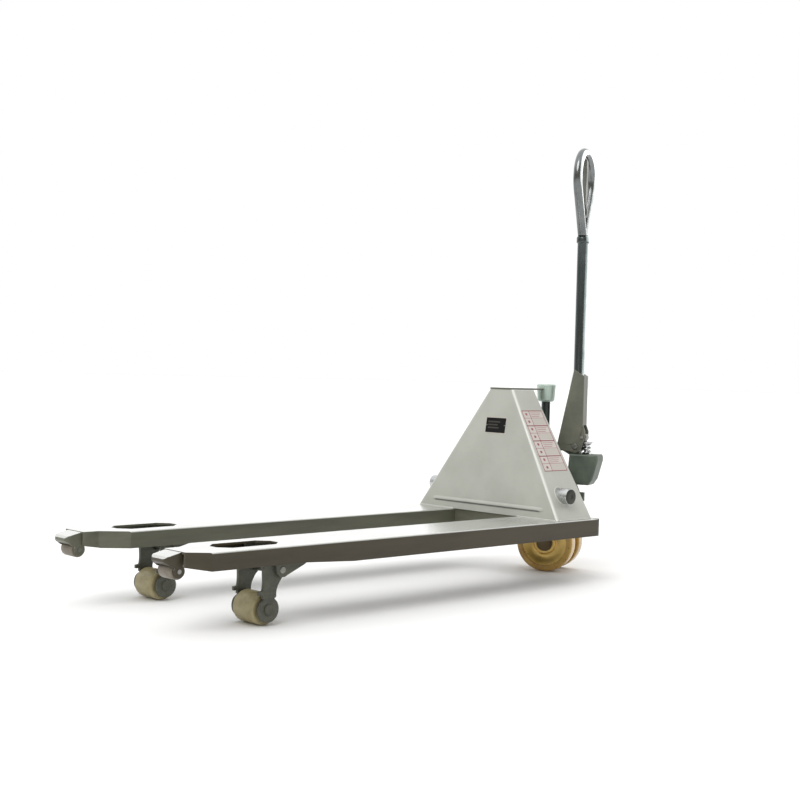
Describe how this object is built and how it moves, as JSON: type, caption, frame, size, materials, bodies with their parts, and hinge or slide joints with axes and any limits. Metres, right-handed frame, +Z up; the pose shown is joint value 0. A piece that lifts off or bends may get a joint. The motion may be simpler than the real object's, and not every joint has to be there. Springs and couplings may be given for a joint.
{
  "type": "hand pallet truck",
  "caption": "Hand pallet truck: two raised forks, triangular hump, steered hydraulic pump with upright loop handle, twin steering wheels and fork rollers.",
  "frame": {"origin": "on the floor, under the middle of the whole truck's box", "axes": "+X towards the fork tips, +Y to the left fork, +Z up"},
  "size_m": [1.6109, 0.56, 1.24],
  "materials": {
    "hump_steel": "brushed stainless steel sheet, satin",
    "fork_steel": "folded and ground stainless steel, satin",
    "arm_steel": "grey-green blasted steel plate",
    "pump_casting": "grey-green painted casting",
    "bright_steel": "polished bar",
    "handle_steel": "dark satin tube",
    "bearing_steel": "ground bearing steel",
    "roller_nylon": "cream nylon, slightly worn",
    "tyre_polyurethane": "amber polyurethane tread",
    "hub_iron": "cast wheel centre"
  },
  "bodies": {
    "carrier": {"thrust_carrier": "arm_steel"},
    "fork_frame": {"fork_left": "fork_steel", "fork_right": "fork_steel", "fork_tip_left": "fork_steel", "fork_tip_right": "fork_steel", "fork_end_plates": "fork_steel", "pivot_lugs": "arm_steel", "entry_pins": "bearing_steel", "arm_pivots": "bearing_steel", "pivot_spacers": "bearing_steel", "hump_cover": "hump_steel", "hump_top_plate": "hump_steel", "ram_head": "pump_casting", "ram": "bright_steel", "cross_member": "fork_steel", "rocker_bosses": "bright_steel", "rocker_shaft": "bright_steel"},
    "pump": {"pump_base": "pump_casting", "main_cylinder": "pump_casting", "pump_housing": "pump_casting", "thrust_bearing": "bearing_steel", "valve_pin": "bearing_steel", "wheel_axle": "bright_steel", "axle_washers": "bearing_steel", "plunger_spring": "bright_steel"},
    "rocker": {"torsion_tube": "arm_steel", "cradle_arms": "arm_steel", "rod_levers": "arm_steel"},
    "handle": {"handle_bracket": "pump_casting", "bracket_pins": "bearing_steel", "handle_tube": "handle_steel", "handle_loop": "bright_steel", "lever_pin": "bearing_steel"},
    "press_roller": {"press_roller": "bright_steel"},
    "plunger": {"plunger": "bright_steel"},
    "release_lever": {"release_lever": "bright_steel"},
    "pull_rod": {"pull_rod": "bearing_steel"},
    "valve_lever": {"valve_lever": "pump_casting"},
    "push_rod_left": {"push_rod_left": "arm_steel", "rod_pins_left": "bearing_steel"},
    "load_arm_left": {"load_arm_left_outer": "arm_steel", "load_arm_left_inner": "arm_steel", "roller_axle_left": "bearing_steel"},
    "load_roller_left": {"load_roller_left": "roller_nylon", "roller_bearings_left": "bearing_steel"},
    "entry_roller_left": {"entry_roller_left": "roller_nylon"},
    "steer_wheel_left": {"tyre_left": "tyre_polyurethane", "wheel_hub_left": "hub_iron", "wheel_bearings_left": "bearing_steel"},
    "push_rod_right": {"push_rod_right": "arm_steel", "rod_pins_right": "bearing_steel"},
    "load_arm_right": {"load_arm_right_outer": "arm_steel", "load_arm_right_inner": "arm_steel", "roller_axle_right": "bearing_steel"},
    "load_roller_right": {"load_roller_right": "roller_nylon", "roller_bearings_right": "bearing_steel"},
    "entry_roller_right": {"entry_roller_right": "roller_nylon"},
    "steer_wheel_right": {"tyre_right": "tyre_polyurethane", "wheel_hub_right": "hub_iron", "wheel_bearings_right": "bearing_steel"}
  },
  "joints": [
    {"name": "lift", "type": "slide", "parent": "carrier", "child": "fork_frame", "axis": [0, 0, 1], "range_m": [-0.1, 0]},
    {"name": "steer", "type": "hinge", "parent": "carrier", "child": "pump", "pos_m": [-0.6795, 0, 0.1], "axis": [0, 0, 1], "range_deg": [-34, 166]},
    {"name": "handle_tilt", "type": "hinge", "parent": "pump", "child": "handle", "pos_m": [-0.71936, 0.08953, 0.368], "axis": [-0.9135, -0.4067, 0], "range_deg": [0, 76]},
    {"name": "plunger_slide", "type": "slide", "parent": "pump", "child": "plunger", "axis": [0, 0, -1], "range_m": [0, 0.03997], "deforming": ["plunger_spring"]},
    {"name": "press_roller_spin", "type": "hinge", "parent": "handle", "child": "press_roller", "pos_m": [-0.7275, 0.1078, 0.395], "axis": [0.9135, 0.4067, 0], "continuous": true},
    {"name": "release", "type": "hinge", "parent": "handle", "child": "release_lever", "pos_m": [-0.71936, 0.08953, 1.05], "axis": [-0.9135, -0.4067, 0], "range_deg": [-12, 12]},
    {"name": "pull_rod_slide", "type": "slide", "parent": "handle", "child": "pull_rod", "axis": [0, 0, 1], "range_m": [-0.0013, 0.0013]},
    {"name": "valve", "type": "hinge", "parent": "pump", "child": "valve_lever", "pos_m": [-0.71936, 0.08953, 0.226], "axis": [-0.9135, -0.4067, 0], "range_deg": [-6.1, 6.1]},
    {"name": "rocker_turn", "type": "hinge", "parent": "fork_frame", "child": "rocker", "pos_m": [-0.4845, 0, 0.243], "axis": [0, 1, 0], "range_deg": [0, 28.81]},
    {"name": "push_rod_slide_left", "type": "slide", "parent": "fork_frame", "child": "push_rod_left", "axis": [1, 0, 0], "range_m": [-0.04674, 0]},
    {"name": "arm_fold_left", "type": "hinge", "parent": "fork_frame", "child": "load_arm_left", "pos_m": [0.5125, 0.2, 0.124], "axis": [0, 1, 0], "range_deg": [-79.05, 0]},
    {"name": "load_roller_spin_left", "type": "hinge", "parent": "load_arm_left", "child": "load_roller_left", "pos_m": [0.5435, 0.2, 0.037], "axis": [0, 1, 0], "continuous": true},
    {"name": "entry_roller_spin_left", "type": "hinge", "parent": "fork_frame", "child": "entry_roller_left", "pos_m": [0.7705, 0.202, 0.138], "axis": [0, 1, 0], "continuous": true},
    {"name": "steer_wheel_spin_left", "type": "hinge", "parent": "pump", "child": "steer_wheel_left", "pos_m": [-0.65221, 0.03952, 0.084], "axis": [0.9135, 0.4067, 0], "continuous": true},
    {"name": "push_rod_slide_right", "type": "slide", "parent": "fork_frame", "child": "push_rod_right", "axis": [1, 0, 0], "range_m": [-0.04674, 0]},
    {"name": "arm_fold_right", "type": "hinge", "parent": "fork_frame", "child": "load_arm_right", "pos_m": [0.5125, -0.2, 0.124], "axis": [0, 1, 0], "range_deg": [-79.05, 0]},
    {"name": "load_roller_spin_right", "type": "hinge", "parent": "load_arm_right", "child": "load_roller_right", "pos_m": [0.5435, -0.2, 0.037], "axis": [0, 1, 0], "continuous": true},
    {"name": "entry_roller_spin_right", "type": "hinge", "parent": "fork_frame", "child": "entry_roller_right", "pos_m": [0.7705, -0.202, 0.138], "axis": [0, 1, 0], "continuous": true},
    {"name": "steer_wheel_spin_right", "type": "hinge", "parent": "pump", "child": "steer_wheel_right", "pos_m": [-0.72712, 0.00616, 0.084], "axis": [0.9135, 0.4067, 0], "continuous": true}
  ],
  "couplings": [
    {"joint": "plunger_slide", "follows": "handle_tilt", "m_per_rad": 0.03006},
    {"joint": "pull_rod_slide", "follows": "release", "m_per_rad": 0.006},
    {"joint": "valve", "follows": "release", "ratio": -0.5},
    {"joint": "rocker_turn", "follows": "lift", "rad_per_m": -5.0196},
    {"joint": "push_rod_slide_left", "follows": "lift", "ratio": 0.46688},
    {"joint": "arm_fold_left", "follows": "lift", "rad_per_m": 13.788},
    {"joint": "push_rod_slide_right", "follows": "lift", "ratio": 0.46688},
    {"joint": "arm_fold_right", "follows": "lift", "rad_per_m": 13.788}
  ]
}
